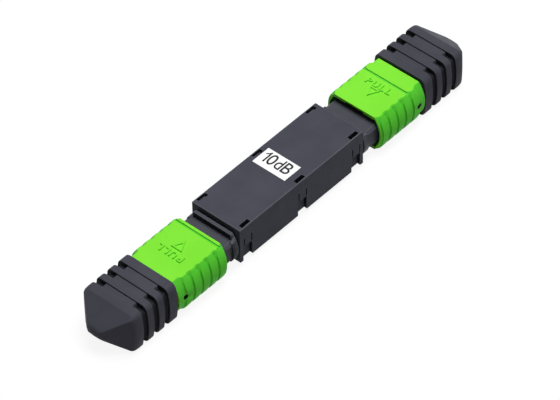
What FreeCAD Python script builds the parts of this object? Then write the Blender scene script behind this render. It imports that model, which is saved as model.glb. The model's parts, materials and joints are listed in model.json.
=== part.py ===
"""In-line MPO fibre attenuator: snap housing, two push-pull connectors and two dust caps.

X runs along the fibre, Y across, Z up. The origin lies under the middle of the housing, on the plane that
the dust caps rest on. Each connector is modelled for the +X (female) end with the fibre axis at Z = 0, and
is then lifted to the axis height; the male end is the same connector turned half a turn about Y, so its key
faces down. All sizes are millimetres.
"""
import FreeCAD, Part
import math
import os

# Housing: a lid with skirt walls that snaps over a tray
HOUSING_LENGTH = 30.7
HOUSING_WIDTH = 10.5
HOUSING_TOP = 4.0
HOUSING_BOTTOM = 3.4
COVER_SIDE_WALL = 0.6
COVER_END_WALL = 0.6
COVER_TOP_WALL = 0.8
COVER_EDGE_ROUND = 0.2
TRAY_FLOOR = 0.8
TRAY_WALL = 0.8
TRAY_WALL_TOP = 0.6
TRAY_CLEARANCE = 0.05

# Snap tongues of the lid, their windows and the notches under them
SNAP_INSET = 1.85
TONGUE_WIDTH = 1.5
TONGUE_OFFSET = 0.13
TONGUE_TOP = 1.5
TONGUE_BOTTOM = -0.4
SLIT_WIDTH = 0.3
NOTCH_WIDTH = 2.2
BARB_DEPTH = 0.25
BARB_HEIGHT = 0.5
BARB_CLEARANCE = 0.1
WINDOW_LENGTH = 2.1
WINDOW_WIDTH = 0.55
WINDOW_INSET = 0.25

# Rating label on the lid
LABEL_LENGTH = 4.1
LABEL_WIDTH = 7.1
LABEL_THICKNESS = 0.08
LABEL_X = 0.05
LABEL_Y = 0.4

# Fibre ribbon
FIBRE_COUNT = 12
FIBRE_PITCH = 0.25
RIBBON_THICKNESS = 0.3
RIBBON_EDGE = 0.1
RIBBON_END_PLAY = 1.3

# Rear body: waist in the end wall, flange outside it, neck and insert towards the plug
FLANGE_GAP = 0.36
FLANGE_BAR = 0.68
FLANGE_STEP = 0.4
FLANGE_RISE = 0.27
FLANGE_SIDE_FLAT = 0.65
COLLAR_LENGTH = 0.56
NECK_LENGTH = 5.35
NECK_STEP = 0.2
NECK_RISE = 0.3
NECK_BEVEL = 0.5
WAIST_WIDTH = 6.4
WAIST_HEIGHT = 4.4
WAIST_CLEARANCE = 0.05
INNER_FLANGE_LENGTH = 1.4
INNER_FLANGE_PLAY = 0.1
INNER_FLANGE_SIDE_GAP = 0.2
INNER_FLANGE_TOP_GAP = 0.7
INNER_FLANGE_FLOOR_GAP = 0.1
INSERT_LENGTH = 2.5
INSERT_CLEARANCE = 0.1
INSERT_LUG_WIDTH = 3.0
INSERT_LUG_LENGTH = 1.0
INSERT_LUG_HEIGHT = 0.35
INSERT_LUG_TIP = 0.4
PASSAGE_SIDE_ROOM = 0.3
PASSAGE_RISE_ROOM = 0.45

# Plug frame
FRAME_LENGTH = 14.6
FRAME_BORE_SIDE_GAP = 0.3
FRAME_BORE_RISE_GAP = 0.7
FRAME_CORNER = 0.35
FRAME_SIDE_WALL = 0.85
FRAME_TOP_WALL = 0.4
FRAME_NOSE = 0.6
FRAME_NOSE_STEP = 0.3
FRAME_REAR_GAP = 0.1
KEY_WIDTH = 3.3
KEY_HEIGHT = 0.6
KEY_SETBACK = 0.8
KEY_LENGTH = 10.7
LATCH_LENGTH = 1.8
LATCH_HEIGHT = 2.6
LATCH_DEPTH = 0.4
LATCH_SETBACK = 3.6

# Ferrule, boot and pin clamp
FERRULE_SIDE_WALL = 0.55
FERRULE_HEIGHT = 2.5
FERRULE_LENGTH = 8.0
FERRULE_PROTRUSION = 0.5
FERRULE_FLANGE_STEP = 0.3
FERRULE_FLANGE_RISE = 0.25
FERRULE_FLANGE_LENGTH = 1.75
FERRULE_SEAT_GAP = 0.05
FERRULE_CLEARANCE = 0.1
FERRULE_FACE_ANGLE = 8.0
FERRULE_WINDOW_LENGTH = 2.6
FERRULE_WINDOW_ROOM = 0.1
FERRULE_WINDOW_SETBACK = 2.6
GUIDE_HOLE_WALL = 0.2
GUIDE_PIN = 0.69
GUIDE_PIN_CLEARANCE = 0.01
GUIDE_PIN_PROTRUSION = 2.0
GUIDE_PIN_TIP = 0.2
BOOT_SIDE_WALL = 0.2
BOOT_HEIGHT = 1.2
BOOT_SEAT = 2.2
BOOT_TAIL = 0.4
BOOT_CLEARANCE = 0.03
BOOT_SLOT_CLEARANCE = 0.05
CLAMP_LENGTH = 2.1
CLAMP_SIDE_INSET = 0.1
CLAMP_RISE_INSET = 0.05

# Coil springs
FERRULE_COIL_SIDE_ROOM = 0.575
FERRULE_COIL_RISE_ROOM = 0.475
FERRULE_WIRE = 0.35
FERRULE_TURNS = 3.5
SLEEVE_COIL = 0.76
SLEEVE_WIRE = 0.22
SLEEVE_TURNS = 3.5
SLEEVE_COIL_OFFSET = 0.2
COIL_STEPS = 8
SPRING_ROOM = 0.16
SPRING_SEAT_DEPTH = 2.2
SPRING_END_GAP = 0.03

# Push-pull sleeve
SLEEVE_LENGTH = 11.5
SLEEVE_SIDE_FLAT = 0.4
SLEEVE_TOP_WALL = 0.65
SLEEVE_GAP = 2.81
SLEEVE_TRAVEL = 2.4
SLEEVE_SIDE_LIP = 0.3
SLEEVE_BORE_ROOM = 0.7
SLEEVE_NECK_CLEARANCE = 0.15
SLEEVE_FRAME_CLEARANCE = 0.1
SLEEVE_STOP_GAP = 0.2
SLEEVE_LUG_LENGTH = 1.0
SLEEVE_LUG_SETBACK = 2.1
SLEEVE_LUG_HEIGHT = 1.0
SLEEVE_HOLE = 1.0
SLEEVE_HOLE_SETBACK = 1.55
KEYWAY_WIDTH = 3.8
RIB_COUNT = 5
RIB_PITCH = 2.0
RIB_WIDTH = 0.8
RIB_HEIGHT = 0.35
RIB_FIRST = 1.15
LINE_WIDTH = 0.45
LINE_DEPTH = 0.2
KEY_FACE_LINE = 3.5
PLAIN_FACE_LINE = 0.8

# Dust cap
CAP_GAP = 0.26
CAP_SIDE = 1.15
CAP_RISE = 1.55
CAP_SIDE_RADIUS = 18.0
CAP_CORNER = 1.2
CAP_REAR_RING = 1.87
CAP_TIP_RING = 1.8
CAP_GROOVE = 1.16
CAP_GROOVE_COUNT = 3
CAP_GROOVE_DEPTH = 0.55
CAP_NOTCH_DEPTH = 1.1
CAP_NOTCH_BEVEL = 0.3
CAP_BRIDGE_WIDTH = 6.5
CAP_BRIDGE_DEPTH = 0.3
CAP_END_LENGTH = 3.9
CAP_END_WIDTH = 2.9
CAP_END_HEIGHT = 1.6
CAP_END_CORNER = 0.7
CAP_POCKET_CLEARANCE = 0.1
CAP_POCKET_END_GAP = 0.9
CAP_END_WALL = 0.41

# Sizes across the fibre axis, from the fibres outwards to the cap
RIBBON_WIDTH = FIBRE_COUNT * FIBRE_PITCH
BOOT_SLOT_WIDTH = RIBBON_WIDTH + 2 * BOOT_SLOT_CLEARANCE
BOOT_SLOT_HEIGHT = RIBBON_THICKNESS + 2 * BOOT_SLOT_CLEARANCE
BOOT_WIDTH = BOOT_SLOT_WIDTH + 2 * BOOT_SIDE_WALL
BOOT_SOCKET_WIDTH = BOOT_WIDTH + 2 * BOOT_CLEARANCE
BOOT_SOCKET_HEIGHT = BOOT_HEIGHT + 2 * BOOT_CLEARANCE
GUIDE_HOLE = GUIDE_PIN + GUIDE_PIN_CLEARANCE
GUIDE_SPACING = BOOT_WIDTH + GUIDE_HOLE + 2 * GUIDE_HOLE_WALL
FERRULE_WIDTH = GUIDE_SPACING + GUIDE_HOLE + 2 * FERRULE_SIDE_WALL
FERRULE_WINDOW_WIDTH = RIBBON_WIDTH + 2 * FERRULE_WINDOW_ROOM
FERRULE_FLANGE_WIDTH = FERRULE_WIDTH + 2 * FERRULE_FLANGE_STEP
FERRULE_FLANGE_HEIGHT = FERRULE_HEIGHT + 2 * FERRULE_FLANGE_RISE
CLAMP_WIDTH = FERRULE_FLANGE_WIDTH - 2 * CLAMP_SIDE_INSET
CLAMP_HEIGHT = FERRULE_FLANGE_HEIGHT - 2 * CLAMP_RISE_INSET
FERRULE_COIL_WIDTH = BOOT_WIDTH + FERRULE_WIRE + 2 * FERRULE_COIL_SIDE_ROOM
FERRULE_COIL_HEIGHT = BOOT_HEIGHT + FERRULE_WIRE + 2 * FERRULE_COIL_RISE_ROOM
FRAME_BORE_WIDTH = FERRULE_FLANGE_WIDTH + 2 * FRAME_BORE_SIDE_GAP
FRAME_BORE_HEIGHT = FERRULE_FLANGE_HEIGHT + 2 * FRAME_BORE_RISE_GAP
FRAME_WIDTH = FRAME_BORE_WIDTH + 2 * FRAME_SIDE_WALL
FRAME_HEIGHT = FRAME_BORE_HEIGHT + 2 * FRAME_TOP_WALL
KEY_TOP = FRAME_HEIGHT / 2 + KEY_HEIGHT
PASSAGE_WIDTH = RIBBON_WIDTH + 2 * PASSAGE_SIDE_ROOM
PASSAGE_HEIGHT = RIBBON_THICKNESS + 2 * PASSAGE_RISE_ROOM
INSERT_WIDTH = FRAME_BORE_WIDTH - 2 * INSERT_CLEARANCE
INSERT_HEIGHT = FRAME_BORE_HEIGHT - 2 * INSERT_CLEARANCE
NECK_WIDTH = FRAME_WIDTH + 2 * NECK_STEP
NECK_HEIGHT = FRAME_HEIGHT + 2 * NECK_RISE
FLANGE_WIDTH = NECK_WIDTH + 2 * FLANGE_STEP
FLANGE_HEIGHT = NECK_HEIGHT + 2 * FLANGE_RISE
FLANGE_SIDE_RADIUS = FLANGE_WIDTH / 2 - FLANGE_SIDE_FLAT
SLEEVE_BORE_WIDTH = NECK_WIDTH + 2 * SLEEVE_BORE_ROOM
SLEEVE_BORE_HEIGHT = NECK_HEIGHT + 2 * SLEEVE_NECK_CLEARANCE
SLEEVE_BORE_RADIUS = SLEEVE_BORE_WIDTH / 2 - SLEEVE_SIDE_FLAT
SLEEVE_WIDTH = SLEEVE_BORE_WIDTH + 2 * SLEEVE_SIDE_LIP
SLEEVE_HEIGHT = SLEEVE_BORE_HEIGHT + 2 * SLEEVE_TOP_WALL
SLEEVE_SIDE_RADIUS = SLEEVE_WIDTH / 2 - SLEEVE_SIDE_FLAT
SLEEVE_COIL_Y = FRAME_WIDTH / 2 + SLEEVE_COIL_OFFSET
SPRING_GROOVE_HEIGHT = SLEEVE_COIL + SLEEVE_WIRE + 2 * SPRING_ROOM
SPRING_GROOVE_FLOOR = SLEEVE_COIL_Y - (SLEEVE_COIL + SLEEVE_WIRE + SPRING_ROOM) / 2
CAP_WIDTH = FRAME_WIDTH + 2 * CAP_SIDE
CAP_HEIGHT = FRAME_HEIGHT + 2 * CAP_RISE
AXIS_HEIGHT = CAP_HEIGHT / 2

# Sizes across the housing, from the outside inwards
COVER_INNER = HOUSING_WIDTH / 2 - COVER_SIDE_WALL
COVER_CEILING = HOUSING_TOP - COVER_TOP_WALL
TRAY_OUTER = COVER_INNER - TRAY_CLEARANCE
TRAY_INNER = TRAY_OUTER - TRAY_WALL
TRAY_FLOOR_TOP = TRAY_FLOOR - HOUSING_BOTTOM
INNER_FLANGE_SIDE = TRAY_INNER - INNER_FLANGE_SIDE_GAP
INNER_FLANGE_TOP = COVER_CEILING - INNER_FLANGE_TOP_GAP
INNER_FLANGE_BOTTOM = TRAY_FLOOR_TOP + INNER_FLANGE_FLOOR_GAP

# Places along the fibre axis, from the middle of the housing outwards
HOUSING_END = HOUSING_LENGTH / 2
SNAP_SPACING = HOUSING_END - SNAP_INSET
WALL_INNER = HOUSING_END - COVER_END_WALL
FLANGE_REAR = HOUSING_END + FLANGE_GAP
FLANGE_FRONT = FLANGE_REAR + FLANGE_BAR
NECK_REAR = FLANGE_FRONT + COLLAR_LENGTH
NECK_FRONT = NECK_REAR + NECK_LENGTH
INSERT_FRONT = NECK_FRONT + INSERT_LENGTH
INSERT_LUG_FRONT = INSERT_FRONT - INSERT_LUG_TIP
SPRING_SEAT = INSERT_FRONT - SPRING_SEAT_DEPTH
FRAME_REAR = NECK_FRONT + FRAME_REAR_GAP
FRAME_FRONT = FRAME_REAR + FRAME_LENGTH
FERRULE_FRONT = FRAME_FRONT + FERRULE_PROTRUSION
FERRULE_REAR = FERRULE_FRONT - FERRULE_LENGTH
FRAME_SEAT = FERRULE_REAR + FERRULE_FLANGE_LENGTH + FERRULE_SEAT_GAP
CLAMP_REAR = FERRULE_REAR - CLAMP_LENGTH
PIN_TIP = FERRULE_FRONT + GUIDE_PIN_PROTRUSION
SLEEVE_REAR = FLANGE_FRONT + SLEEVE_GAP
SLEEVE_FRONT = SLEEVE_REAR + SLEEVE_LENGTH
SLEEVE_STEP = NECK_FRONT + SLEEVE_TRAVEL + SLEEVE_STOP_GAP
LUG_FRONT = SLEEVE_FRONT - SLEEVE_LUG_SETBACK
LUG_REAR = LUG_FRONT - SLEEVE_LUG_LENGTH
CAP_REAR = SLEEVE_FRONT + CAP_GAP
CAP_POCKET_END = PIN_TIP + CAP_POCKET_END_GAP
CAP_SHOULDER = CAP_POCKET_END + CAP_END_WALL
CAP_FRONT = CAP_SHOULDER + CAP_END_LENGTH
CAP_RINGS_BETWEEN = CAP_SHOULDER - CAP_REAR - CAP_REAR_RING - CAP_TIP_RING - CAP_GROOVE_COUNT * CAP_GROOVE
CAP_RING = CAP_RINGS_BETWEEN / (CAP_GROOVE_COUNT - 1)


def vec(x, y, z):
    return FreeCAD.Vector(x, y, z)


def block(x, y, z):
    """A box between the two values of each pair."""
    size = [pair[1] - pair[0] for pair in (x, y, z)]
    return Part.makeBox(*size, vec(x[0], y[0], z[0]))


def centred(x, width, height):
    """A box between two places along X, centred on the fibre axis."""
    return block(x, (-width / 2, width / 2), (-height / 2, height / 2))


def mirrored(shape):
    """The shape and its mirror image on the other side of Y = 0."""
    return [shape, shape.mirror(vec(0, 0, 0), vec(0, 1, 0))]


def closed_wire(points):
    """A closed wire from (point, middle) pairs: an edge is an arc through its middle, or straight if None."""
    edges = []
    for index, (start, middle) in enumerate(points):
        end = points[(index + 1) % len(points)][0]
        if middle is None:
            edges.append(Part.LineSegment(start, end).toShape())
        else:
            edges.append(Part.Arc(start, middle, end).toShape())
    return Part.Wire(edges)


def rounded_wire(x, width, height, corner):
    """A rectangle with round corners, or sharp ones for a corner of zero, square to the fibre axis."""
    a = width / 2 - corner
    b = height / 2 - corner
    reach = corner * math.sqrt(0.5)
    points = []
    for sy, sz in ((1, 1), (-1, 1), (-1, -1), (1, -1)):
        beside = vec(x, sy * (a + corner), sz * b)
        above = vec(x, sy * a, sz * (b + corner))
        middle = vec(x, sy * (a + reach), sz * (b + reach))
        first, last = (beside, above) if sy * sz > 0 else (above, beside)
        points += [(first, middle), (last, None)] if corner else [(first, None)]
    return closed_wire(points)


def bulged_wire(x, width, height, side_radius, corner, bevelled=False):
    """Flat top and bottom with bulged sides; corners are round, straight if bevelled, or sharp if zero."""
    centre = width / 2 - side_radius
    rise = height / 2 - corner
    flat = centre + math.sqrt((side_radius - corner) ** 2 - rise ** 2)
    tangent = math.atan2(rise, flat - centre)
    halfway = (tangent + math.pi / 2) / 2
    points = []
    for sy, sz in ((1, 1), (-1, 1), (-1, -1), (1, -1)):
        def on_corner(angle):
            return vec(x, sy * (flat + corner * math.cos(angle)), sz * (rise + corner * math.sin(angle)))

        beside = on_corner(tangent)
        above = on_corner(math.pi / 2)
        middle = None if bevelled else on_corner(halfway)
        bulge = vec(x, sy * width / 2, 0)
        pair = [(beside, middle), (above, None)] if sy * sz > 0 else [(above, middle), (beside, bulge)]
        points += pair if corner else pair[1:]
    return closed_wire(points)


def prism(wire, length):
    """A solid of one section along the fibre axis."""
    return Part.Face(wire).extrude(vec(length, 0, 0))


def rounded_prism(x, width, height, corner=0):
    return prism(rounded_wire(x[0], width, height, corner), x[1] - x[0])


def bulged_prism(x, width, height, side_radius, corner=0):
    return prism(bulged_wire(x[0], width, height, side_radius, corner), x[1] - x[0])


def bevelled_prism(x, width, height, bevel):
    """A rectangle with bevelled corners along X, centred on the fibre axis."""
    side = width / 2
    top = height / 2
    quarter = [(side, top - bevel), (side - bevel, top)]
    upper = quarter + [(-y, z) for y, z in reversed(quarter)]
    return profile_along_x(x, upper + [(-y, -z) for y, z in upper])


def profile_along_x(x, outline):
    """A solid between two places along X from a list of (y, z) corners."""
    corners = [vec(x[0], y, z) for y, z in outline]
    return Part.Face(Part.makePolygon(corners + corners[:1])).extrude(vec(x[1] - x[0], 0, 0))


def joined(first, others):
    return first.fuse(others).removeSplitter()


def snap_places():
    """Centre and side of each snap: three along each long wall."""
    return [(centre, side) for side in (-1, 1) for centre in (-SNAP_SPACING, 0, SNAP_SPACING)]


def tongue_range(centre, side):
    middle = centre - side * TONGUE_OFFSET
    return (middle - TONGUE_WIDTH / 2, middle + TONGUE_WIDTH / 2)


def across(side, inner, outer):
    """A Y range on one side of the fibre axis, from the nearer to the farther face."""
    return (inner, outer) if side > 0 else (-outer, -inner)


def top_cover():
    half = HOUSING_WIDTH / 2
    inner = COVER_INNER
    body = block((-HOUSING_END, HOUSING_END), (-half, half), (-HOUSING_BOTTOM, HOUSING_TOP))
    rim = [e for e in body.Edges if e.BoundBox.ZMin > HOUSING_TOP - COVER_EDGE_ROUND]
    body = body.makeFillet(COVER_EDGE_ROUND, rim)
    cavity = block((-WALL_INNER, WALL_INNER), (-inner, inner), (-HOUSING_BOTTOM, COVER_CEILING))
    slot_width = WAIST_WIDTH / 2 + WAIST_CLEARANCE
    slot = block((-HOUSING_END, HOUSING_END), (-slot_width, slot_width),
                 (-HOUSING_BOTTOM, WAIST_HEIGHT / 2 + WAIST_CLEARANCE))
    cuts = [cavity, slot]
    barbs = []
    for centre, side in snap_places():
        window_outer = half - WINDOW_INSET
        cuts.append(block((centre - WINDOW_LENGTH / 2, centre + WINDOW_LENGTH / 2),
                          across(side, window_outer - WINDOW_WIDTH, window_outer),
                          (COVER_CEILING, HOUSING_TOP)))
        wall = across(side, inner, half)
        left, right = tongue_range(centre, side)
        for start in (left - SLIT_WIDTH, right):
            cuts.append(block((start, start + SLIT_WIDTH), wall, (TONGUE_BOTTOM, TONGUE_TOP)))
        cuts.append(block((centre - NOTCH_WIDTH / 2, centre + NOTCH_WIDTH / 2), wall,
                          (-HOUSING_BOTTOM, TONGUE_BOTTOM)))
        tip = inner - BARB_DEPTH
        ramp = [(inner, TONGUE_BOTTOM), (tip, TONGUE_BOTTOM + BARB_DEPTH),
                (tip, TONGUE_BOTTOM + BARB_HEIGHT), (inner, TONGUE_BOTTOM + BARB_HEIGHT)]
        barbs.append(profile_along_x((left, right), [(side * y, z) for y, z in ramp]))
    return joined(body.cut(cuts), barbs)


def base_tray():
    length = WALL_INNER - TRAY_CLEARANCE
    floor = block((-length, length), (-TRAY_OUTER, TRAY_OUTER), (-HOUSING_BOTTOM, TRAY_FLOOR_TOP))
    walls = mirrored(block((-length, length), (TRAY_INNER, TRAY_OUTER), (TRAY_FLOOR_TOP, TRAY_WALL_TOP)))
    tab_top = -WAIST_HEIGHT / 2 - WAIST_CLEARANCE
    tabs = [block(x, (-WAIST_WIDTH / 2, WAIST_WIDTH / 2), (-HOUSING_BOTTOM, tab_top))
            for x in ((-HOUSING_END, -length), (length, HOUSING_END))]
    pockets = []
    for centre, side in snap_places():
        left, right = tongue_range(centre, side)
        height = (TONGUE_BOTTOM - BARB_CLEARANCE, TONGUE_BOTTOM + BARB_HEIGHT + BARB_CLEARANCE)
        pockets.append(block((left - BARB_CLEARANCE, right + BARB_CLEARANCE),
                             across(side, TRAY_OUTER - BARB_DEPTH - BARB_CLEARANCE, TRAY_OUTER), height))
    return joined(floor, walls + tabs).cut(pockets)


def rating_label():
    return block((LABEL_X - LABEL_LENGTH / 2, LABEL_X + LABEL_LENGTH / 2),
                 (LABEL_Y - LABEL_WIDTH / 2, LABEL_Y + LABEL_WIDTH / 2),
                 (HOUSING_TOP, HOUSING_TOP + LABEL_THICKNESS))


def fibre_ribbon():
    """The fibres lie side by side in one flat band with round edges."""
    end = FERRULE_REAR + BOOT_SEAT - RIBBON_END_PLAY - BOOT_TAIL
    return rounded_prism((-end, end), RIBBON_WIDTH, RIBBON_THICKNESS, RIBBON_EDGE)


def spring_push():
    """Rear body: inner flange and waist in the housing, flange, collar, neck, and insert in the frame."""
    inner_front = WALL_INNER - INNER_FLANGE_PLAY
    pieces = [
        centred((inner_front, FLANGE_REAR), WAIST_WIDTH, WAIST_HEIGHT),
        bulged_prism((FLANGE_REAR, FLANGE_FRONT), FLANGE_WIDTH, FLANGE_HEIGHT, FLANGE_SIDE_RADIUS),
        bulged_prism((FLANGE_FRONT, NECK_REAR), FLANGE_WIDTH, NECK_HEIGHT, FLANGE_SIDE_RADIUS),
        bevelled_prism((NECK_REAR, NECK_FRONT), NECK_WIDTH, NECK_HEIGHT, NECK_BEVEL),
        centred((NECK_FRONT, INSERT_FRONT), INSERT_WIDTH, INSERT_HEIGHT),
    ]
    lug = centred((INSERT_LUG_FRONT - INSERT_LUG_LENGTH, INSERT_LUG_FRONT), INSERT_LUG_WIDTH,
                  INSERT_HEIGHT + 2 * INSERT_LUG_HEIGHT)
    body = block((inner_front - INNER_FLANGE_LENGTH, inner_front), (-INNER_FLANGE_SIDE, INNER_FLANGE_SIDE),
                 (INNER_FLANGE_BOTTOM, INNER_FLANGE_TOP))
    body = joined(body, pieces + [lug])
    passage = centred((inner_front - INNER_FLANGE_LENGTH, INSERT_FRONT), PASSAGE_WIDTH, PASSAGE_HEIGHT)
    seat_width = FERRULE_COIL_WIDTH + FERRULE_WIRE + SPRING_ROOM
    seat_height = FERRULE_COIL_HEIGHT + FERRULE_WIRE + SPRING_ROOM
    seat = rounded_prism((SPRING_SEAT, INSERT_FRONT), seat_width, seat_height,
                         seat_height / 2 - SPRING_ROOM)
    return body.cut([passage, seat])


def plug_frame():
    nose = FRAME_FRONT - FRAME_NOSE
    body = rounded_prism((FRAME_REAR, nose), FRAME_WIDTH, FRAME_HEIGHT, FRAME_CORNER)
    taper = Part.makeLoft([rounded_wire(nose, FRAME_WIDTH, FRAME_HEIGHT, FRAME_CORNER),
                           rounded_wire(FRAME_FRONT, FRAME_WIDTH - 2 * FRAME_NOSE_STEP,
                                        FRAME_HEIGHT - 2 * FRAME_NOSE_STEP, FRAME_CORNER)], True, True)
    key_front = FRAME_FRONT - KEY_SETBACK
    key = block((key_front - KEY_LENGTH, key_front), (-KEY_WIDTH / 2, KEY_WIDTH / 2), (0, KEY_TOP))
    body = joined(body, [taper, key])
    bore = centred((FRAME_REAR, FRAME_SEAT), FRAME_BORE_WIDTH, FRAME_BORE_HEIGHT)
    mouth = centred((FRAME_SEAT, FRAME_FRONT), FERRULE_WIDTH + 2 * FERRULE_CLEARANCE,
                    FERRULE_HEIGHT + 2 * FERRULE_CLEARANCE)
    lug_rear = INSERT_LUG_FRONT - INSERT_LUG_LENGTH
    lug_window = centred((lug_rear - INSERT_CLEARANCE, INSERT_LUG_FRONT + INSERT_CLEARANCE),
                         INSERT_LUG_WIDTH + 2 * INSERT_CLEARANCE, FRAME_HEIGHT)
    groove = block((FRAME_REAR, LUG_FRONT + SLEEVE_FRAME_CLEARANCE), (SPRING_GROOVE_FLOOR, FRAME_WIDTH / 2),
                   (-SPRING_GROOVE_HEIGHT / 2, SPRING_GROOVE_HEIGHT / 2))
    latch_front = FRAME_FRONT - LATCH_SETBACK
    latch = block((latch_front - LATCH_LENGTH, latch_front),
                  (FRAME_WIDTH / 2 - LATCH_DEPTH, FRAME_WIDTH / 2), (-LATCH_HEIGHT / 2, LATCH_HEIGHT / 2))
    return body.cut([bore, mouth, lug_window] + mirrored(groove) + mirrored(latch))


def ferrule():
    body = centred((FERRULE_REAR, FERRULE_FRONT + FERRULE_HEIGHT), FERRULE_WIDTH, FERRULE_HEIGHT)
    flange = centred((FERRULE_REAR, FERRULE_REAR + FERRULE_FLANGE_LENGTH), FERRULE_FLANGE_WIDTH,
                     FERRULE_FLANGE_HEIGHT)
    body = joined(body, [flange])
    polish = centred((FERRULE_FRONT, FERRULE_FRONT + 2 * FERRULE_HEIGHT), 2 * FERRULE_WIDTH,
                     4 * FERRULE_HEIGHT)
    polish.rotate(vec(FERRULE_FRONT, 0, 0), vec(0, 1, 0), FERRULE_FACE_ANGLE)
    socket = centred((FERRULE_REAR, FERRULE_REAR + BOOT_SEAT + BOOT_CLEARANCE), BOOT_SOCKET_WIDTH,
                     BOOT_SOCKET_HEIGHT)
    window_front = FERRULE_FRONT - FERRULE_WINDOW_SETBACK
    window = block((window_front - FERRULE_WINDOW_LENGTH, window_front),
                   (-FERRULE_WINDOW_WIDTH / 2, FERRULE_WINDOW_WIDTH / 2),
                   (RIBBON_THICKNESS / 2, FERRULE_HEIGHT / 2))
    holes = [Part.makeCylinder(GUIDE_HOLE / 2, 2 * FERRULE_LENGTH, vec(FERRULE_REAR, y, 0), vec(1, 0, 0))
             for y in (-GUIDE_SPACING / 2, GUIDE_SPACING / 2)]
    return body.cut([polish, socket, window] + holes)


def ferrule_boot():
    rear = CLAMP_REAR - BOOT_TAIL
    front = FERRULE_REAR + BOOT_SEAT
    body = centred((rear, front), BOOT_WIDTH, BOOT_HEIGHT)
    slot = centred((rear, front - BOOT_TAIL), BOOT_SLOT_WIDTH, BOOT_SLOT_HEIGHT)
    return body.cut(slot)


def pin_clamp():
    """Plate behind the ferrule that holds the tails of the guide pins; the boot passes through it."""
    body = centred((CLAMP_REAR, FERRULE_REAR), CLAMP_WIDTH, CLAMP_HEIGHT)
    window = centred((CLAMP_REAR, FERRULE_REAR), BOOT_SOCKET_WIDTH, BOOT_SOCKET_HEIGHT)
    hole = Part.makeCylinder(GUIDE_HOLE / 2, CLAMP_LENGTH, vec(CLAMP_REAR, GUIDE_SPACING / 2, 0),
                             vec(1, 0, 0))
    return body.cut([window] + mirrored(hole))


def guide_pins():
    """Two straight pins with a cone at the tip."""
    radius = GUIDE_PIN / 2
    shank = PIN_TIP - GUIDE_PIN_TIP
    side = GUIDE_SPACING / 2
    pin = Part.makeCylinder(radius, shank - CLAMP_REAR, vec(CLAMP_REAR, side, 0), vec(1, 0, 0))
    cone = Part.makeCone(radius, radius - GUIDE_PIN_TIP, GUIDE_PIN_TIP, vec(shank, side, 0), vec(1, 0, 0))
    return Part.makeCompound(mirrored(joined(pin, [cone])))


def coil(x, centre_y, width, height, wire, turns):
    """A coil spring along X of square wire, with an oval or round winding in flat facets."""
    start = x[0] + SPRING_END_GAP + wire / 2
    run = x[1] - SPRING_END_GAP - wire / 2 - start
    count = round(turns * COIL_STEPS)
    sections = []
    for step in range(count + 1):
        share = step / count
        angle = 2 * math.pi * turns * share
        sections.append([vec(start + run * share + along * wire / 2,
                             centre_y + (width + out * wire) / 2 * math.cos(angle),
                             (height + out * wire) / 2 * math.sin(angle))
                         for along, out in ((-1, -1), (1, -1), (1, 1), (-1, 1))])
    facets = [sections[0], sections[-1]]
    for near, far in zip(sections, sections[1:]):
        for corner in range(4):
            following = (corner + 1) % 4
            facets.append([near[corner], near[following], far[following]])
            facets.append([near[corner], far[following], far[corner]])
    shell = Part.makeShell([Part.Face(Part.makePolygon(facet + facet[:1])) for facet in facets])
    shell.sewShape()
    solid = Part.makeSolid(shell)
    if solid.Volume < 0:
        solid.reverse()
    return solid


def ferrule_spring():
    return coil((SPRING_SEAT, CLAMP_REAR), 0, FERRULE_COIL_WIDTH, FERRULE_COIL_HEIGHT, FERRULE_WIRE,
                FERRULE_TURNS)


def sleeve_spring(side):
    return coil((NECK_FRONT, LUG_REAR), side * SLEEVE_COIL_Y, SLEEVE_COIL, SLEEVE_COIL, SLEEVE_WIRE,
                SLEEVE_TURNS)


def sleeve_outside():
    """The sleeve's outer form: flat faces, and sides turned from the rib profile about the bulge's axis."""
    centre = SLEEVE_WIDTH / 2 - SLEEVE_SIDE_RADIUS
    profile = [(SLEEVE_REAR, 0), (SLEEVE_REAR, SLEEVE_SIDE_RADIUS)]
    first_foot = SLEEVE_REAR + RIB_FIRST - RIB_PITCH / 2
    slope = (RIB_PITCH - RIB_WIDTH) / 2
    for foot in [first_foot + index * RIB_PITCH for index in range(RIB_COUNT)]:
        profile.append((foot, SLEEVE_SIDE_RADIUS))
        profile.append((foot + slope, SLEEVE_SIDE_RADIUS + RIB_HEIGHT))
        profile.append((foot + slope + RIB_WIDTH, SLEEVE_SIDE_RADIUS + RIB_HEIGHT))
    profile.append((first_foot + RIB_COUNT * RIB_PITCH, SLEEVE_SIDE_RADIUS))
    profile += [(SLEEVE_FRONT, SLEEVE_SIDE_RADIUS), (SLEEVE_FRONT, 0)]
    corners = [vec(x, centre + radius, 0) for x, radius in profile]
    side = Part.Face(Part.makePolygon(corners + corners[:1]))
    side.rotate(vec(0, centre, 0), vec(1, 0, 0), -90)
    side = side.revolve(vec(0, centre, 0), vec(1, 0, 0), 180)
    half = SLEEVE_HEIGHT / 2
    side = side.common(block((SLEEVE_REAR, SLEEVE_FRONT), (0, SLEEVE_WIDTH), (-half, half)))
    return joined(centred((SLEEVE_REAR, SLEEVE_FRONT), 2 * centre, SLEEVE_HEIGHT), mirrored(side))


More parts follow.
